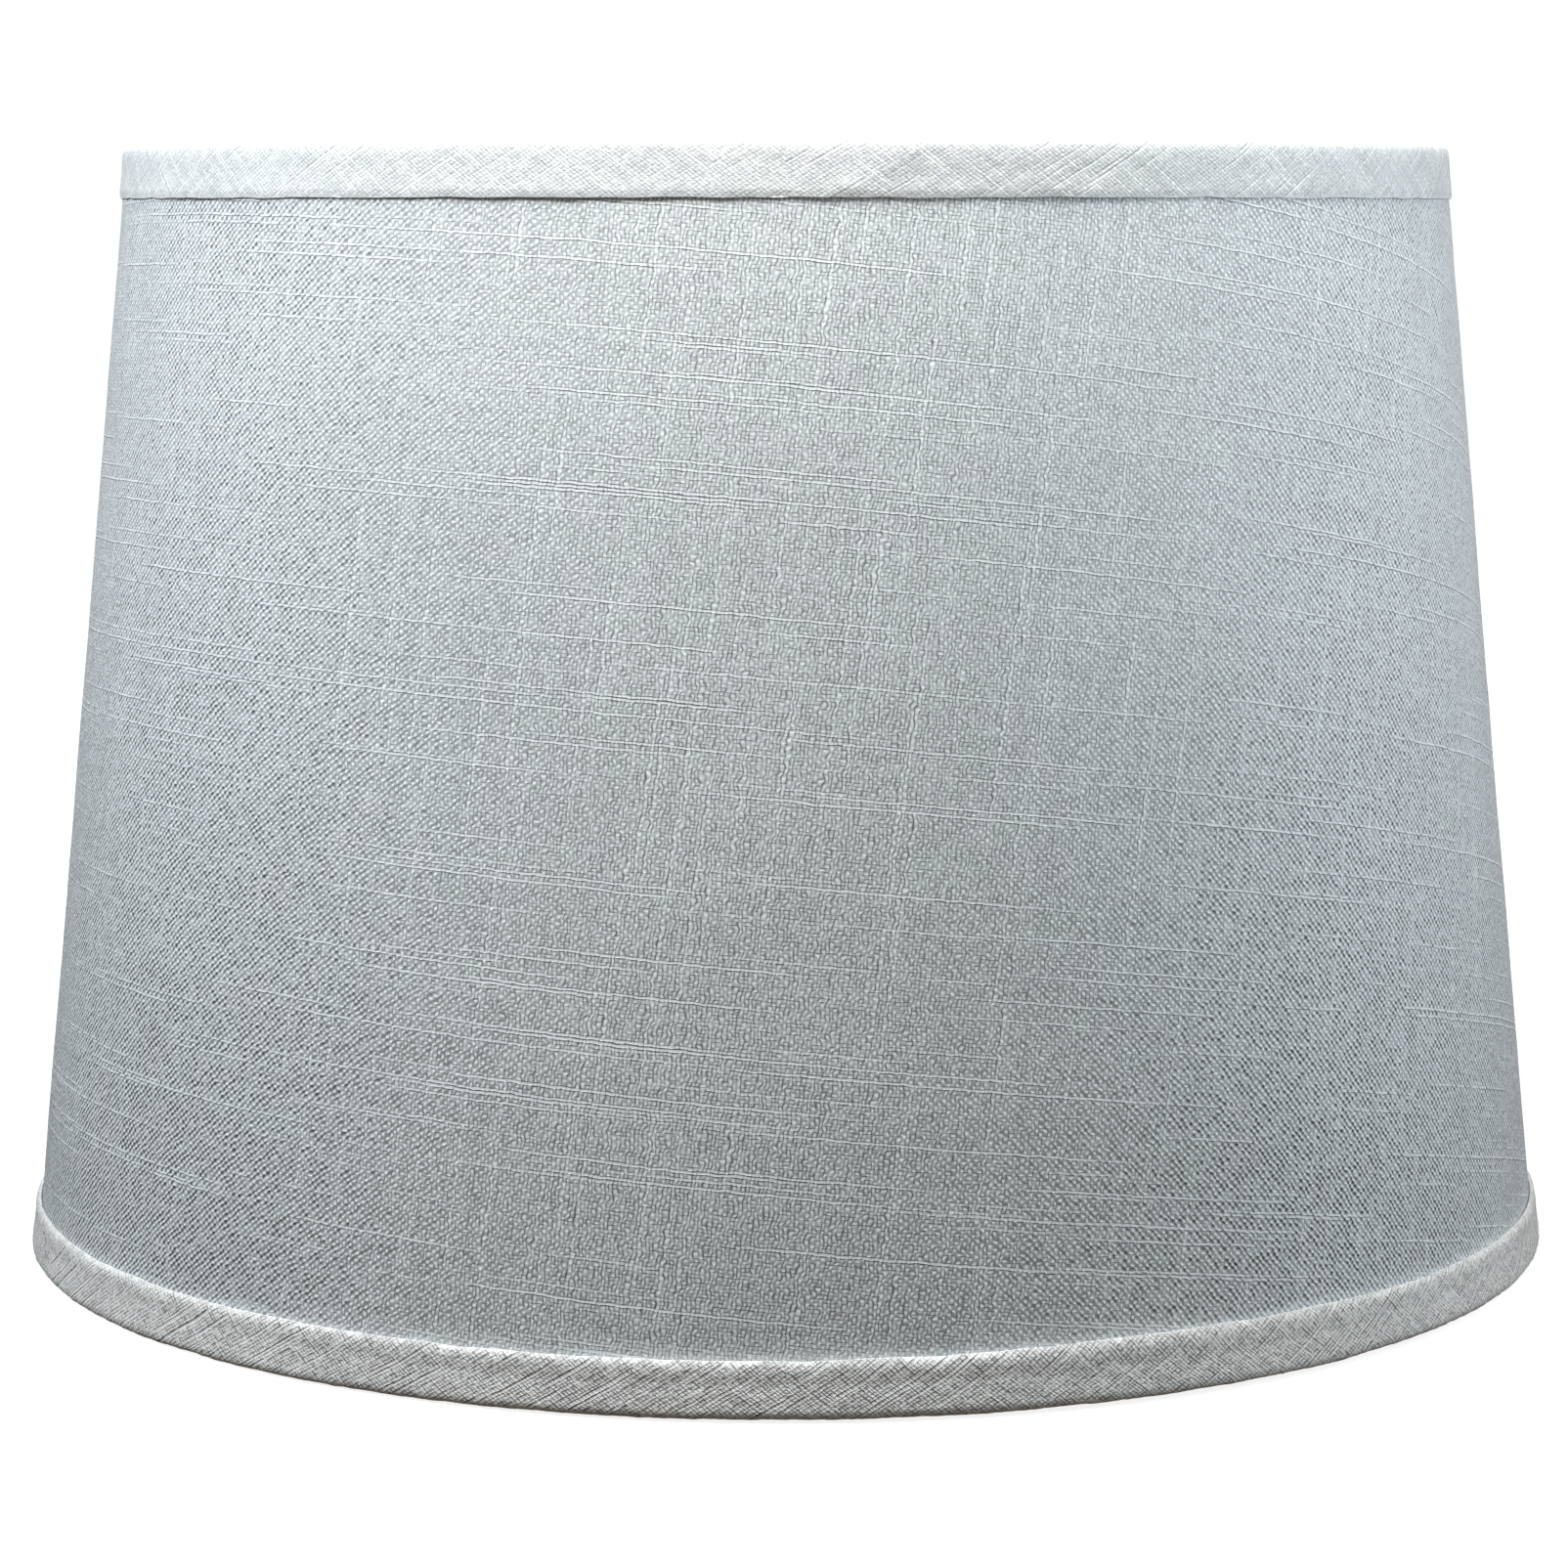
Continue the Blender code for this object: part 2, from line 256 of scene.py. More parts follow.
def swept_mesh(name, azimuths, radius, z, uv, tone_and_painted_light, material, whole_turn):
    """A closed skin swept about Z.

    radius and z are arrays of columns by outline points. uv has one more point, and one more column
    on a whole turn, so that the weave runs on where the skin closes. tone is per column and point.
    """
    columns, points = radius.shape
    co = np.stack([radius * np.sin(azimuths)[:, None], -radius * np.cos(azimuths)[:, None], z], -1)
    spans = columns if whole_turn else columns - 1
    c, p = np.meshgrid(np.arange(spans), np.arange(points), indexing="ij")
    c, p = c.ravel(), p.ravel()
    c2, p2 = (c + 1) % columns, (p + 1) % points
    quads = np.stack([c * points + p, c * points + p2, c2 * points + p2, c2 * points + p], -1)
    corner_uv = np.stack([uv[c, p], uv[c, p + 1], uv[c + 1, p + 1], uv[c + 1, p]], 1)
    corner_uv = corner_uv.reshape(-1, 2)
    faces = quads.tolist()
    if not whole_turn:
        first = list(range(points))
        last = list(range((columns - 1) * points, columns * points))
        faces += [first[::-1], last]
        ends = np.concatenate([uv[0, :points][::-1], uv[columns - 1, :points]])
        corner_uv = np.concatenate([corner_uv, ends])
    mesh = bpy.data.meshes.new(name)
    mesh.from_pydata(co.reshape(-1, 3).tolist(), [], faces)
    layer = mesh.uv_layers.new(name="weave")
    layer.data.foreach_set("uv", corner_uv.astype(np.float32).ravel())
    # Each point's lightness factor: painted light, and darker lengths of cloth.
    shade = mesh.attributes.new("tone_and_painted_light", "FLOAT", "POINT")
    shade.data.foreach_set("value", tone_and_painted_light.astype(np.float32).ravel())
    mesh.shade_smooth()
    mesh.set_sharp_from_angle(angle=math.radians(60))
    mesh.materials.append(material)
    made = bpy.data.objects.new(name, mesh)
    bpy.context.scene.collection.objects.link(made)
    return made


def sag(azimuths):
    """How far the lower rim hangs below level, which is most on the left of the front."""
    return 0.45 * MM + 0.75 * MM * np.cos(azimuths + math.radians(60))


def deeper(azimuths):
    """How much deeper the lower band is than its line, which is most a little right of the front."""
    away = (azimuths - math.radians(28) + math.pi) % TURN - math.pi
    return 0.35 * MM + 1.0 * MM * np.exp(-((away / math.radians(18)) ** 2))


def cover_heights():
    """The heights of the cover's rows: close together where the painted light from the lower fold lies on
    it.
    """
    near_fold, past_fold = 9 * MM, 18 * MM
    low, high = cover_low.z, cover_high.z
    hidden = np.linspace(low, near_fold, 4, endpoint=False)
    lit = np.linspace(near_fold, past_fold, 24, endpoint=False)
    return np.concatenate([hidden, lit, np.linspace(past_fold, high, 68)]), np.linspace(high, low, 24)


def make_cover(material):
    """The panel of linen glued to the liner, with a narrow hem turned under at its outer end."""
    end = SEAM + LAP_HALF
    start = end - TURN + 0.6 * MM / RIM_RADIUS
    lap_start = SEAM - LAP_HALF - LAP_RAMP
    wall = np.linspace(start, lap_start, 460, endpoint=False)
    azimuths = np.concatenate([wall, np.linspace(lap_start, end, 70)])
    outside, inside = cover_heights()
    z = np.concatenate([outside, inside])[None, :].repeat(len(azimuths), 0)
    depth = np.concatenate([np.zeros(len(outside)), np.full(len(inside), COVER_THICKNESS)])

    lap = LAP_RISE * smooth_step((azimuths - SEAM + LAP_HALF + LAP_RAMP) / LAP_RAMP)
    hem = 0.4 * MM * smooth_step((azimuths - end + 7 * MM / RIM_RADIUS) * RIM_RADIUS / (1.2 * MM))
    around = azimuths[:, None] * face_radius(z)
    uneven = 0.07 * MM * waves(3, 0.06, 12, around, z) + 0.02 * MM * waves(4, 0.012, 16, around, z)
    radius = face_radius(z) + lap[:, None] + (hem[:, None] + uneven) * (depth == 0) - depth

    reach = face_radius(z) / CONE
    turned = CONE * azimuths[:, None]
    flat_x, flat_y = reach * np.sin(turned), -reach * np.cos(turned)
    flat = weave_coords(flat_x, flat_y, COVER_WEFT, COVER_WARP)
    flat = np.concatenate([flat, flat[:, :1]], 1)

    # Painted light on the cover just above the lower fold, strongest towards the front.
    fold = BOTTOM_LINE[0][1] * MM + deeper(azimuths) - sag(azimuths)
    above = np.maximum(z - fold[:, None], 0)
    facing = np.maximum(np.cos(azimuths - math.radians(10)), 0)[:, None]
    tone_and_painted_light = 1 + PAINTED_BOUNCE_LIGHT * facing * np.exp(-above / PAINTED_BOUNCE_REACH)
    return swept_mesh("linen_cover", azimuths, radius, z, flat, tone_and_painted_light, material, False)


def curve_through(points, count):
    """Evenly spaced points on a smooth curve through the given ones, and their distances along it."""
    points = np.array(points, float)
    padded = np.concatenate([[2 * points[0] - points[1]], points, [2 * points[-1] - points[-2]]])
    dense = []
    for a, b, c, d in zip(padded, padded[1:], padded[2:], padded[3:]):
        for t in np.linspace(0, 1, 24, endpoint=False):
            slope = (c - a) * t
            bend = (2 * a - 5 * b + 4 * c - d) * t**2
            twist = (3 * b - a - 3 * c + d) * t**3
            dense.append(0.5 * (2 * b + slope + bend + twist))
    dense.append(points[-1])
    dense = np.array(dense)
    steps = np.linalg.norm(np.diff(dense, axis=0), axis=1)
    along = np.concatenate([[0], np.cumsum(steps)])
    even = np.linspace(0, along[-1], count)
    line = np.stack([np.interp(even, along, dense[:, i]) for i in (0, 1)], -1)
    return line, even


def strip_section(strip):
    """A binding's cross-section: outline, outward normals, and distance from the outer fold."""
    line, along = curve_through(strip.line + INNER_TUCK, 30)
    line, along = line * MM, along * MM
    turned_in = smooth_step((HEM_WIDTH - along) / (1.5 * MM))
    thickness = STRIP_THICKNESS + (strip.hem - STRIP_THICKNESS) * turned_in
    near_end = np.minimum(along, along[-1] - along)
    rounding = np.clip(1 - near_end / (thickness / 2), 0, 0.96)
    thickness = thickness * np.sqrt(1 - rounding**2)
    tangent = np.gradient(line, axis=0)
    tangent /= np.linalg.norm(tangent, axis=1)[:, None]
    normal = np.stack([-tangent[:, 1], tangent[:, 0]], -1)
    half = normal * thickness[:, None] / 2
    outline = np.concatenate([line + half, (line - half)[::-1]])
    normals = np.concatenate([normal, -normal[::-1]])
    return outline, normals, np.concatenate([along, along[::-1]])


def strip_unevenness(strip, azimuths, place):
    """How far a binding swells out of its section, and how far its hem's edge strays."""
    x, y = strip.radius * np.sin(azimuths)[:, None], strip.radius * np.cos(azimuths)[:, None]
    ripple = waves(strip.seed, 0.022, 14, x, y)
    fine = waves(strip.seed + 1, 0.0045, 20, x, y + place[None, :])
    grain = np.random.default_rng(strip.seed + 2).normal(size=(len(azimuths), len(place)))
    swell = 0.05 * MM * ripple + 0.03 * MM * fine + 0.028 * MM * grain
    near_hem = smooth_step((HEM_WIDTH - place) / HEM_WIDTH)[None, :]
    edge = 0.07 * MM * waves(strip.seed + 5, 0.014, 18, x, y) * near_hem
    if not strip.at_top:
        edge = edge + deeper(azimuths)[:, None] * near_hem
    return swell, edge


def show_join(azimuths, depth, outer, tone_and_painted_light, lap):
    """Darkens the top strip's second length, up to the back seam, and raises the join's turning."""
    signed = ((azimuths + math.pi) % TURN - math.pi)[:, None] * RIM_RADIUS
    past = signed - JOIN_START - (JOIN_DEPTH - depth) / JOIN_RISE
    second = smooth_step(past / (0.7 * MM) + 0.5) * (signed < SEAM * RIM_RADIUS)
    below_rim = smooth_step((depth - 2 * MM) / (6 * MM))
    turning = 0.16 * MM * smooth_step(1 - np.abs(past + 2 * MM) / (2.4 * MM)) * outer
    return tone_and_painted_light - second * (0.03 + 0.06 * below_rim), lap + turning


def make_binding(strip, material):
    """A folded bias strip round a rim."""
    outline, normals, place = strip_section(strip)
    azimuths = np.linspace(0, TURN, 1100, endpoint=False)
    swell, edge = strip_unevenness(strip, azimuths, place)
    inward = outline[None, :, 0] + swell * normals[None, :, 0]
    depth = outline[None, :, 1] + swell * normals[None, :, 1] + edge

    # The band rises over the panel's lap at the back.
    away = np.abs((azimuths - SEAM + math.pi) % TURN - math.pi)
    lap = LAP_RISE * smooth_step((LAP_HALF + MM / RIM_RADIUS + LAP_RAMP - away) / LAP_RAMP)
    outer = smooth_step((3.2 * MM - outline[:, 0]) / (2.5 * MM)) * (place < 0.62 * place.max())
    lap = lap[:, None] * outer[None, :]
    # A painted highlight along the outer fold, strongest at the fold's edge.
    painted_highlight = smooth_step((1.05 * MM - place) / (0.95 * MM)) * strip.painted_fold_highlight
    tone_and_painted_light = np.ones(inward.shape) + painted_highlight[None, :]
    if strip.at_top:
        tone_and_painted_light, lap = show_join(azimuths, outline[None, :, 1], outer, tone_and_painted_light, lap)
        z = HEIGHT - depth
        radius = face_radius(z) - inward + lap
    else:
        z = depth - sag(azimuths)[:, None]
        radius = face_radius(depth) - inward + lap

    closed = np.concatenate([place, [place[0]]])
    height = closed if strip.at_top else -closed
    x = np.concatenate([azimuths, [TURN]])[:, None] * strip.radius
    flat = weave_coords(x, height[None, :] + 0 * x, BIAS_WEFT, BIAS_WARP)
    return swept_mesh(strip.name, azimuths, radius, z, flat, tone_and_painted_light, material, True)


class Field:
    """A number or colour that varies over a surface. Arithmetic on it adds nodes."""

    def __init__(self, graph, socket):
        self.graph, self.socket = graph, socket

    def __add__(self, other):
        return self.graph.math("ADD", self, other)

    def __sub__(self, other):
        return self.graph.math("SUBTRACT", self, other)

    def __rsub__(self, other):
        return self.graph.math("SUBTRACT", other, self)

    def __mul__(self, other):
        return self.graph.math("MULTIPLY", self, other)

    def __truediv__(self, other):
        return self.graph.math("DIVIDE", self, other)

    def __pow__(self, other):
        return self.graph.math("POWER", self, other)

    __radd__ = __add__
    __rmul__ = __mul__


class Graph:
    """Short names for building a material's nodes. Inputs are numbers, colours or fields."""

    def __init__(self, name):
        self.material = bpy.data.materials.new(name)
        self.material.use_nodes = True
        self.tree = self.material.node_tree
        self.shader = self.tree.nodes["Principled BSDF"]

    def feed(self, socket, value):
        if isinstance(value, Field):
            self.tree.links.new(value.socket, socket)
        else:
            socket.default_value = value

    def node(self, kind, inputs=(), output=0, **settings):
        """Adds a node and returns one of its outputs."""
        made = self.tree.nodes.new(kind)
        for key, value in settings.items():
            setattr(made, key, value)
        for key, value in dict(inputs).items():
            self.feed(made.inputs[key], value)
        return Field(self, made.outputs[output])

    def math(self, operation, *values, clamp=False):
        inputs = enumerate(values)
        return self.node("ShaderNodeMath", inputs, operation=operation, use_clamp=clamp)

    def blend(self, share, a, b):
        """a where share is 0, b where it is 1, for numbers."""
        return self.node("ShaderNodeMix", {0: share, 2: a, 3: b}, data_type="FLOAT")

    def ramp(self, value, low, high, to_low=0.0, to_high=1.0):
        inputs = {"Value": value, "From Min": low, "From Max": high}
        inputs.update({"To Min": to_low, "To Max": to_high})
        return self.node("ShaderNodeMapRange", inputs, interpolation_type="SMOOTHSTEP")

    def vector(self, x, y, z=0.0):
        return self.node("ShaderNodeCombineXYZ", {0: x, 1: y, 2: z})

    def noise(self, vector, scale, detail=1.0, roughness=0.5):
        inputs = {"Vector": vector, "Scale": scale, "Detail": detail, "Roughness": roughness}
        return self.node("ShaderNodeTexNoise", inputs)

    def hashed(self, x, y):
        inputs = {"Vector": self.vector(x, y)}
        return self.node("ShaderNodeTexWhiteNoise", inputs, "Value", noise_dimensions="2D")

    def scaled(self, colour, factor):
        inputs = {0: colour, "Scale": factor}
        return self.node("ShaderNodeVectorMath", inputs, operation="SCALE")

    def bump(self, strength, distance, height):
        inputs = {"Strength": strength, "Distance": distance, "Height": height}
        return self.node("ShaderNodeBump", inputs)

    def object_place(self):
        return self.node("ShaderNodeTexCoord", output="Object")

    def flat_place(self):
        """Places on the flat cloth, along the weft and along the warp, in metres."""
        uv = self.node("ShaderNodeUVMap", uv_map="weave")
        return [self.node("ShaderNodeSeparateXYZ", {0: uv}, output) for output in (0, 1)]

    def use(self, **inputs):
        for key, value in inputs.items():
            self.feed(self.shader.inputs[key.replace("_", " ")], value)


class Hatch:
    """Where the cover's hatch leans one way, left of the front, and the other way, right of it.

    left, front and right are shares of the whole. strength is most low on the panel.
    """

    def __init__(self, g, u, v):
        self.left = g.ramp(u, FRONT - 0.15, FRONT - 0.01, 1.0, 0.0)
        self.right = g.ramp(u, FRONT + 0.01, FRONT + 0.15, 0.0, 1.0)
        self.front = 1.0 - (self.left + self.right)
        self.strength = g.ramp(v, LOW_CLOTH, HIGH_CLOTH, 1.48, 0.92)


class Threads:
    """A linen's threads over its flat cloth: where they run, how they cross and how they vary.

    warp and weft are places counted in threads. across_warp and across_weft are 1 in the middle of a
    thread and 0 between threads. crossing is above 0 where the warp lies over the weft.
    """

    def __init__(self, g, cloth, front):
        self.g, self.cloth = g, cloth
        self.u, self.v = g.flat_place()
        self.lay_out(front)
        self.cross()
        self.vary()

    def drift(self, scale, detail, salt):
        place = self.g.vector(self.u, self.v, self.cloth.seed + salt)
        return self.g.noise(place, scale, detail) - 0.5

    def along(self, place, number, length, salt, detail=1.5):
        """Noise that runs along each thread on its own."""
        row = number * THREAD_STEP + (self.cloth.seed + salt)
        return self.g.noise(self.g.vector(place / length, row), 1.0, detail)

    def lay_out(self, front):
        g, cloth = self.g, self.cloth
        shake = cloth.shake + front * (0.35 * cloth.shake)
        warp = self.u * (1 / cloth.warp_pitch) + self.drift(150.0, 1.0, 0.0) * WANDER
        weft = self.v * (1 / cloth.weft_pitch) + self.drift(90.0, 1.5, 4.0) * WANDER
        warp = warp + self.drift(380.0, 1.0, 6.0) * shake
        warp_spread = g.noise(g.vector(warp * 0.45, cloth.seed + 12.0), 1.0)
        weft_spread = g.noise(g.vector(weft * 0.45, cloth.seed + 13.0), 1.0)
        self.warp = warp + warp_spread * cloth.irregular
        self.weft = weft + weft_spread * cloth.irregular + self.drift(380.0, 1.0, 7.0) * (shake * 0.4)

    def cross(self):
        g = self.g
        warp_wave = g.math("SINE", self.warp * math.pi)
        weft_wave = g.math("SINE", self.weft * math.pi)
        self.across_warp = g.math("ABSOLUTE", warp_wave)
        self.across_weft = g.math("ABSOLUTE", weft_wave)
        self.crossing = warp_wave * weft_wave
        self.warp_over = g.math("GREATER_THAN", self.crossing, 0.0)

    def vary(self):
        """Sets each thread's body and slubs, and fullness, how much a crossing stands out."""
        g, cloth = self.g, self.cloth
        warp_number, weft_number = g.math("FLOOR", self.warp), g.math("FLOOR", self.weft)
        weft_body = g.ramp(self.along(self.u, weft_number, BODY_LENGTH, 0.0), 0.30, 0.70)
        warp_body = g.ramp(self.along(self.v, warp_number, BODY_LENGTH, 50.0), 0.30, 0.70)
        self.body = g.blend(self.warp_over, weft_body, warp_body)
        knot = g.hashed(warp_number, weft_number)
        self.fullness = (self.body - 0.5) * BODY + (knot - 0.5) * KNOT + 1.0

        weft_length, warp_length = WEFT_SLUB_LENGTH * cloth.slub_length, WARP_SLUB_LENGTH * cloth.slub_length
        weft_swell = self.along(self.u, weft_number, weft_length, 20.0, 2.0)
        warp_swell = self.along(self.v, warp_number, warp_length, 30.0, 2.0)
        self.weft_slub = g.ramp(weft_swell, *cloth.weft_slubs)
        self.warp_slub = g.ramp(warp_swell, *cloth.warp_slubs)
        self.streak = g.ramp(g.blend(self.warp_over, weft_swell, warp_swell), 0.25, 0.75)

    def gaps(self):
        """The dark lines between neighbouring threads, which close up here and there."""
        weft_lines = self.gap_lines(self.across_weft, self.weft, self.u, 3.0)
        warp_lines = self.gap_lines(self.across_warp, self.warp, self.v, 8.0)
        return self.g.math("MAXIMUM", weft_lines, warp_lines)

    def gap_lines(self, across, position, place, salt):
        number = self.g.math("ROUND", position)
        opened = self.along(place, number, GAP_LENGTH, salt, 1.0)
        return self.g.ramp(across, 0.0, 0.78, 1.0, 0.0) * self.g.ramp(opened, 0.40, 0.60, 0.15, 1.0)

    def hatching(self, hatch):
        """How far crossings rise and fall in slanting rows, either way across the weave."""
        rising = self.g.math("COSINE", (self.warp - self.weft) * math.pi)
        falling = self.g.math("COSINE", (self.warp + self.weft) * math.pi)
        rising_share = (hatch.right * 0.50 + hatch.left * 1.45 + 0.38) * hatch.strength
        falling_share = (hatch.left * 0.50 + hatch.right * 1.35 + 0.38) * hatch.strength
        return (rising * rising_share - falling * falling_share) * 0.5 * self.fullness

    def domes(self):
        """Each crossing's upper thread, as a rounded bump."""
        g = self.g
        warp_dome = self.across_warp * g.math("SQRT", self.across_weft)
        weft_dome = self.across_weft * g.math("SQRT", self.across_warp)
        return g.blend(self.warp_over, weft_dome, warp_dome) * self.fullness

    def ridge(self):
        """A weft slub, which sinks where the warp lies over it."""
        shown = 1.0 - self.g.math("MAXIMUM", self.crossing, 0.0) * 0.5
        return self.weft_slub * self.g.ramp(self.across_weft, 0.05, 0.75) * shown

    def upright(self):
        """A warp slub, a thinner line, which sinks where the weft lies over it."""
        shown = self.g.math("MINIMUM", self.crossing, 0.0) * 0.5 + 1.0
        return self.warp_slub * self.across_warp**1.8 * shown

    def crease(self, slub, position):
        """The crease along a slub's lower or left side, which carries a painted shadow."""
        return slub * self.g.ramp(self.g.math("FRACT", position), 0.0, 0.42, 1.0, 0.0)


def woven_face(g, cloth, threads, hatch):
    """The cloth's height and lightness from thread to thread."""
    gap, ridge, upright = threads.gaps(), threads.ridge(), threads.upright()
    crease = threads.crease(threads.weft_slub, threads.weft)
    side_crease = threads.crease(threads.warp_slub, threads.warp) * SIDE_CREASE
    height = ridge * RIDGE_RISE + upright * UPRIGHT_RISE - gap * GAP_DROP - crease * CREASE_DROP
    shade = cloth.lightness
    gap_depth = cloth.gap_depth
    shine = RIDGE
    if hatch:
        raised = threads.hatching(hatch)
        height = height + raised * HATCH_RISE
        shade = shade + raised * (HATCH * shade) - raised * raised * (HATCH_FLATTENS * shade)
        upright_lines = (threads.across_warp**2.0 - 0.5) * (hatch.front * hatch.strength)
        shade = shade * (upright_lines * UPRIGHT_LINES + 1.0)
        gap_depth = (hatch.front * 0.34 + gap_depth) * (hatch.strength * 0.6 + 0.35)
        shine = (hatch.strength * 1.1 - 0.3) * RIDGE
    else:
        height = height + threads.domes() * DOME_RISE

    # Painted light and shade: light sinks in between the threads and catches the fuller ones and the slubs.
    shade = (1.0 + gap_depth * 0.3 - gap * gap_depth) * shade
    shade = shade + (threads.body - 0.5) * GRAIN + ridge * shine + upright * UPRIGHT
    # Painted shadow in the creases beside slubs.
    shadow = g.math("MAXIMUM", crease, side_crease) * CREASE_PAINTED_SHADOW
    return height, g.math("MAXIMUM", shade - shadow, DARKEST)


def cloth_unevenness(g, cloth, threads, hatch, shade):
    """Streaks along the threads, faint patches, painted shade that darkens the cloth low down, and what is
    darker at the front.
    """
    shade = shade * (threads.streak * cloth.streaks + (1 - cloth.streaks / 2))
    patches = g.noise(g.vector(threads.u, threads.v, cloth.seed + 9.0), 60.0, 3.0, 0.6)
    shade = shade * (patches * 0.04 + 0.98)
    shade = (shade / cloth.lightness) ** cloth.contrast * cloth.lightness
    if hatch:
        # Painted shade: the panel is darker towards its bottom.
        painted_low_shade = g.ramp(threads.v, LOW_CLOTH, LOW_CLOTH + 0.12, 0.93, 1.0)
        shade = shade * ((1.065 - hatch.front * 0.10) * painted_low_shade)
    return shade


def mesh_tone(g, shade):
    """Adds what the mesh carries: painted light, and lengths of cloth that are darker. Where that is well
    over 1, a painted highlight, the weave also fades into one even shade, as on a flattened fold.
    """
    tone_and_painted_light = g.node("ShaderNodeAttribute", output="Fac", attribute_name="tone_and_painted_light")
    over = g.math("SUBTRACT", tone_and_painted_light, 1.0, clamp=True)
    painted_highlight = g.math("MULTIPLY", over, 1.6, clamp=True)
    return g.blend(painted_highlight, g.math("MINIMUM", shade * tone_and_painted_light, LIGHTEST), PAINTED_HIGHLIGHT_SHADE)


def make_linen(cloth):
    """A linen's material: its threads' relief, and the light and shade that they hold."""
    g = Graph(cloth.name)
    hatch = Hatch(g, *g.flat_place()) if cloth.hatched else None
    threads = Threads(g, cloth, hatch.front if hatch else 0.0)
    height, shade = woven_face(g, cloth, threads, hatch)
    shade = cloth_unevenness(g, cloth, threads, hatch, shade)
    shade = mesh_tone(g, shade)
    red, green, blue = cloth.tint
    hue = g.noise(g.vector(threads.u, threads.v, cloth.seed + 2.0), 90.0, 2.0) * 0.04 + 0.98
    base = g.scaled(g.vector(red, hue * green, blue), shade)
    g.use(Base_Color=base, Roughness=0.92, Normal=g.bump(0.6, cloth.relief, height))
    g.use(Specular_IOR_Level=0.18, Sheen_Weight=0.12, Sheen_Roughness=0.5)
    return g.material


def make_styrene():
    """The liner: thin extruded sheet with faint drawn streaks and a slight orange peel."""
    g = Graph("styrene_sheet")
    place = g.object_place()
    drawn = g.node("ShaderNodeMapping", {"Vector": place, "Scale": (6.0, 6.0, 260.0)})
    streak = g.noise(drawn, 1.0, 3.0)
    shade = (streak * 0.05 + 0.955) * (g.noise(place, 14.0, 3.0) * 0.04 + 0.98)
    peel = g.bump(0.15, 0.2 * MM, g.noise(place, 900.0, 2.0))
    g.use(Base_Color=g.scaled((0.70, 0.71, 0.70), shade), Roughness=streak * 0.18 + 0.38, Normal=peel)
    g.use(Specular_IOR_Level=0.4)
    return g.material


def make_tape():
    """Clear double-sided tape: smooth, faintly yellow, with trapped air along it."""
    g = Graph("clear_tape")
    air = g.ramp(g.noise(g.object_place(), 700.0, 3.0), 0.45, 0.62)
    base = g.scaled((0.86, 0.84, 0.76), air * 0.12 + 0.86)
    g.use(Base_Color=base, Roughness=air * 0.25 + 0.30)
    return g.material


def make_nickel():
    """Nickel-plated wire: a soft shine with fine specks and duller patches."""
    g = Graph("nickel_plate")
    place = g.object_place()
    patches = g.noise(place, 160.0, 4.0, 0.6)
    specks = g.bump(0.1, 0.03 * MM, g.noise(place, 1800.0, 2.0))
    base = g.scaled((0.66, 0.64, 0.60), patches * 0.22 + 0.86)
    g.use(Base_Color=base, Roughness=patches * 0.24 + 0.20, Normal=specks, Metallic=1.0)
    return g.material


def aim(heading):
    """The Euler angles that turn a light's -Z towards heading."""
    x, y, z = heading / np.linalg.norm(heading)
    return (math.acos(-z), 0, math.atan2(-x, y))


def add_light(name, azimuth_deg, distance, height, size, power, colour, straight_down=False):
    """A square soft light, aimed at the middle of the shade or straight down."""
    azimuth = math.radians(azimuth_deg)
    light = bpy.data.lights.new(name, "AREA")
    light.shape = "SQUARE"
    light.size = size
    light.energy = power
    light.color = colour
    made = bpy.data.objects.new(name, light)
    bpy.context.scene.collection.objects.link(made)
    spot = np.array([distance * math.sin(azimuth), -distance * math.cos(azimuth), height])
    made.location = spot
    heading = (0, 0, -1) if straight_down else np.array([0, 0, LIGHT_AIM]) - spot
    made.rotation_euler = aim(heading)
    made.visible_camera = False


def make_world():
    """White to the camera, and a dim even fill to the object."""
    world = bpy.data.worlds.new("studio")
    world.use_nodes = True
    bpy.context.scene.world = world
    nodes, links = world.node_tree.nodes, world.node_tree.links
    shown = nodes["Background"]
    shown.inputs["Color"].default_value = (1, 1, 1, 1)
    shown.inputs["Strength"].default_value = 1.02
    fill = nodes.new("ShaderNodeBackground")
    fill.inputs["Color"].default_value = (1.0, 0.88, 0.74, 1)
    fill.inputs["Strength"].default_value = 0.112
    path = nodes.new("ShaderNodeLightPath")
    mix = nodes.new("ShaderNodeMixShader")
    links.new(path.outputs["Is Camera Ray"], mix.inputs[0])
    links.new(fill.outputs[0], mix.inputs[1])
    links.new(shown.outputs[0], mix.inputs[2])
    links.new(mix.outputs[0], nodes["World Output"].inputs["Surface"])


def make_floor():
    """A white sweep: dull enough under the shade to hold a faint shadow, white farther off."""
    g = Graph("studio_floor")
    place = g.object_place()
    away = g.node("ShaderNodeVectorMath", {0: place}, "Value", operation="LENGTH")
    base = g.scaled((0.34, 0.34, 0.34), g.noise(place, 40.0, 3.0) * 0.02 + 0.98)
    g.use(Base_Color=base, Roughness=1.0, Specular_IOR_Level=0.0)
    g.use(Emission_Color=(1, 1, 1, 1), Emission_Strength=g.ramp(away, 0.16, 0.42, 0.84, 1.02))
    mesh = bpy.data.meshes.new("floor")
    reach = 6
    corners = [(-reach, -reach, 0), (reach, -reach, 0), (reach, reach, 0), (-reach, reach, 0)]
    mesh.from_pydata(corners, [], [(0, 1, 2, 3)])
    mesh.materials.append(g.material)
    floor = bpy.data.objects.new("floor", mesh)
    floor.location = (0, 0, -1.5 * MM)
    bpy.context.scene.collection.objects.link(floor)
    floor.visible_diffuse = False
    floor.visible_glossy = False


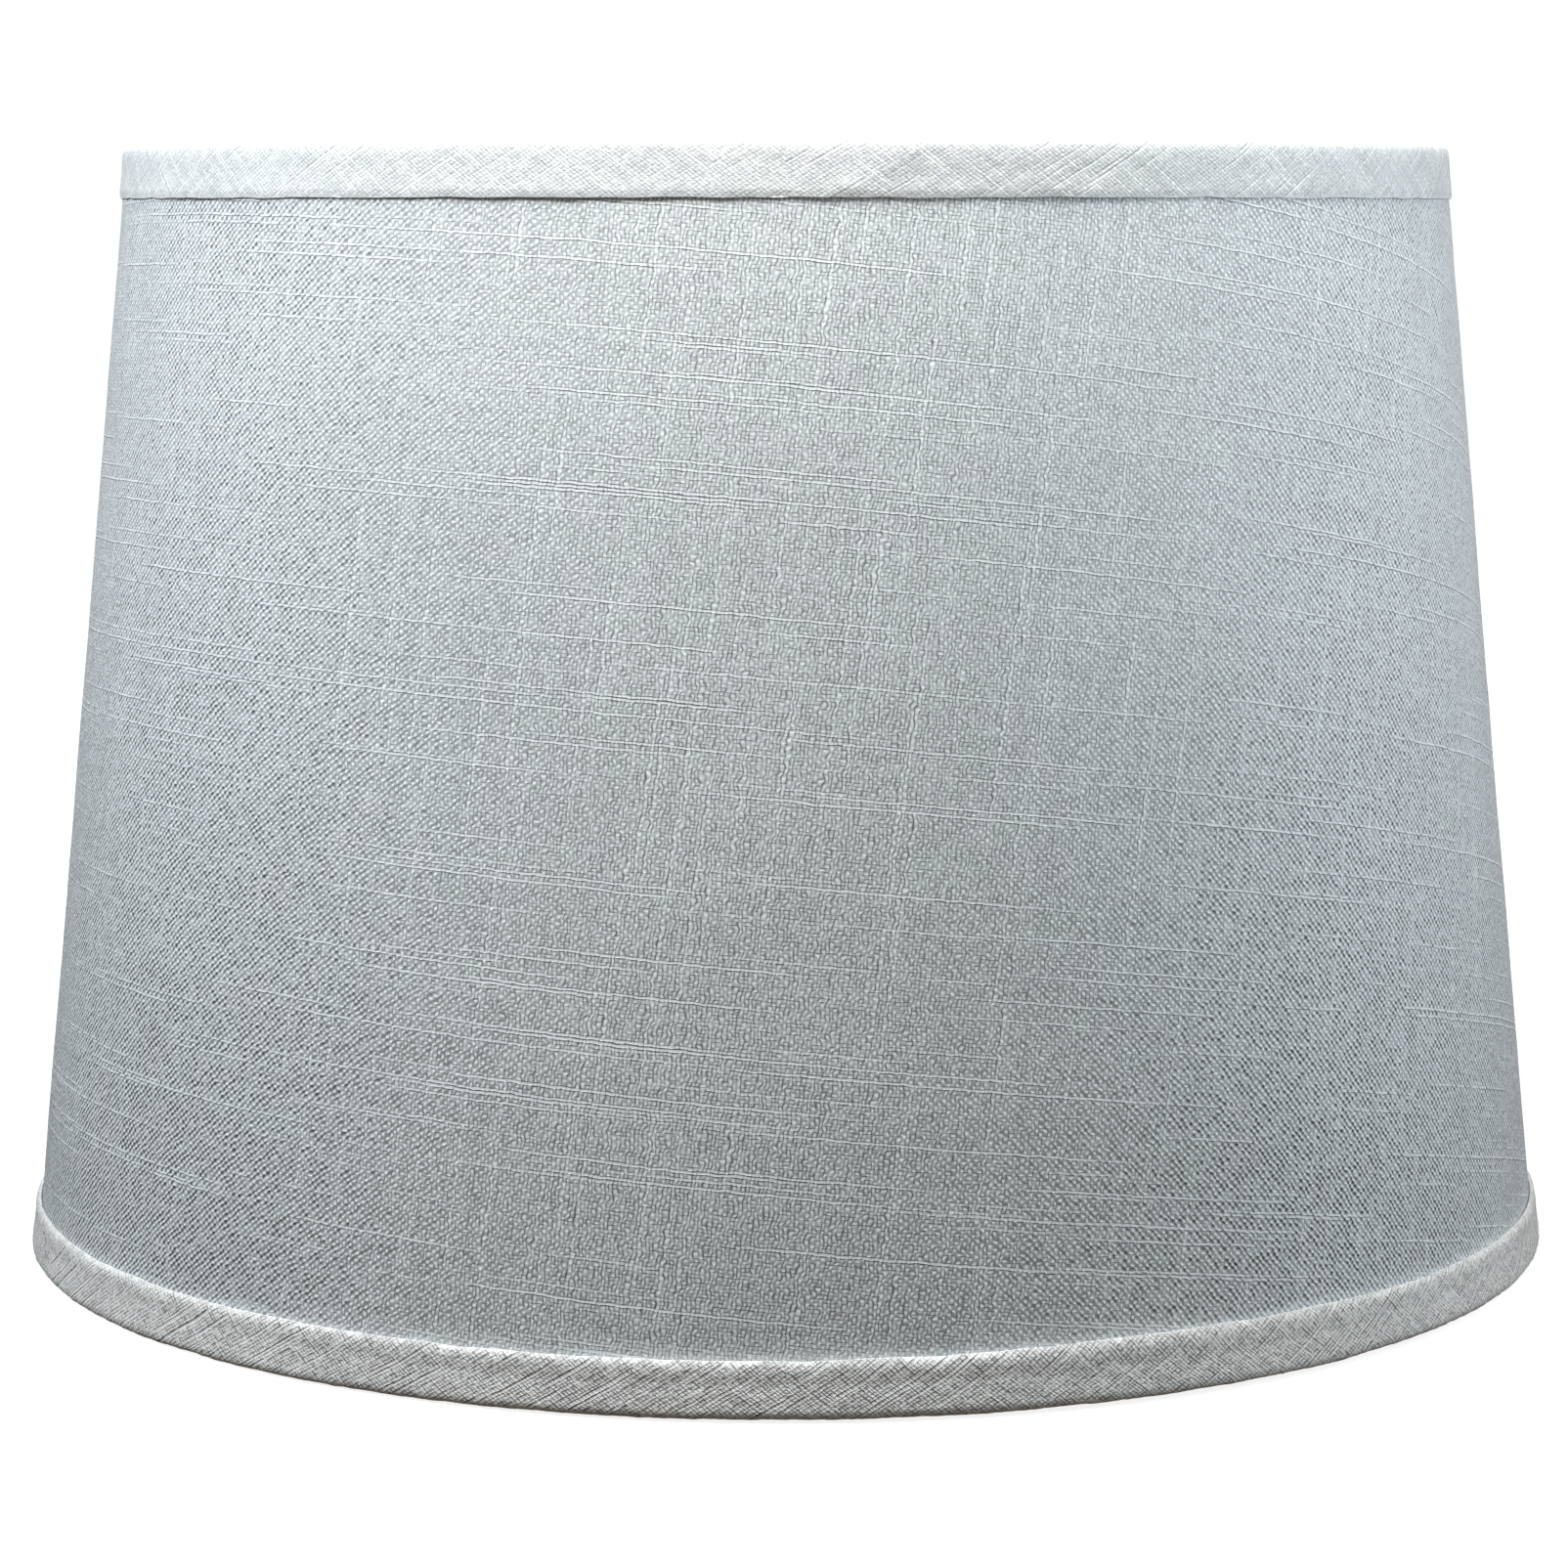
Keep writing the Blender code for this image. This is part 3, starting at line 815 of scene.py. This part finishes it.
def make_camera():
    """The photograph's view, fitted to the shade's rims and sides."""
    data = bpy.data.cameras.new("camera")
    data.sensor_width = 36
    data.lens = 98.26
    camera = bpy.data.objects.new("camera", data)
    bpy.context.scene.collection.objects.link(camera)
    camera.location = (-0.0004, -1.00587, 0.23842)
    downward = 0.13358
    camera.rotation_euler = (math.pi / 2 - downward, 0, 0)
    bpy.context.scene.camera = camera


def make_studio():
    bpy.context.scene.view_settings.view_transform = "Standard"
    make_world()
    make_floor()
    add_light("overhead", 0, 0.15, 0.45, 0.30, 2.14, (0.99, 1.0, 0.99), straight_down=True)
    add_light("key_left", -60, 0.65, 0.75, 0.30, 6.67, (0.825, 0.915, 1.0))
    add_light("fill_right", 60, 0.55, 0.35, 0.30, 1.30, (0.73, 0.88, 1.0))
    add_light("side_right", 100, 0.80, 0.50, 0.60, 1.62, (1.0, 0.92, 0.93))
    add_light("fill_back", 180, 1.2, 0.9, 0.8, 6.0, (0.95, 0.98, 1.0))


def paint(node, material):
    """Gives a solid of the frame a finished material."""
    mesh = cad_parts[node].data
    mesh.materials.clear()
    mesh.materials.append(material)


def add_cover():
    cover = make_cover(make_linen(COVER_LINEN))
    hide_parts("fabric_cover")
    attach(cover, "root")
    sector = CONE * (TURN + 2 * LAP_HALF)
    long_side, short_side = BASE_RADIUS / CONE, RIM_RADIUS / CONE
    flat_width = 2 * long_side * math.sin(sector / 2)
    flat_depth = long_side - short_side * math.cos(sector / 2)
    flat_area = (long_side**2 - short_side**2) * sector / 2


def add_binding(strip, cloth):
    binding = make_binding(strip, make_linen(cloth))
    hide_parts(strip.node)
    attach(binding, "root")
    TURN * strip.radius + STRIP_OVERLAP


def finish_solids():
    paint("liner", make_styrene())
    paint("seam_tape", make_tape())
    nickel = make_nickel()
    for node in ("top_ring", "bottom_ring", "spider_hub"):
        paint(node, nickel)
    for number in (1, 2, 3):
        paint(f"spider_arm_{number}", nickel)


def main():
    make_camera()
    add_cover()
    add_binding(TOP_STRIP, TOP_LINEN)
    add_binding(BOTTOM_STRIP, BOTTOM_LINEN)
    finish_solids()
    make_studio()


main()
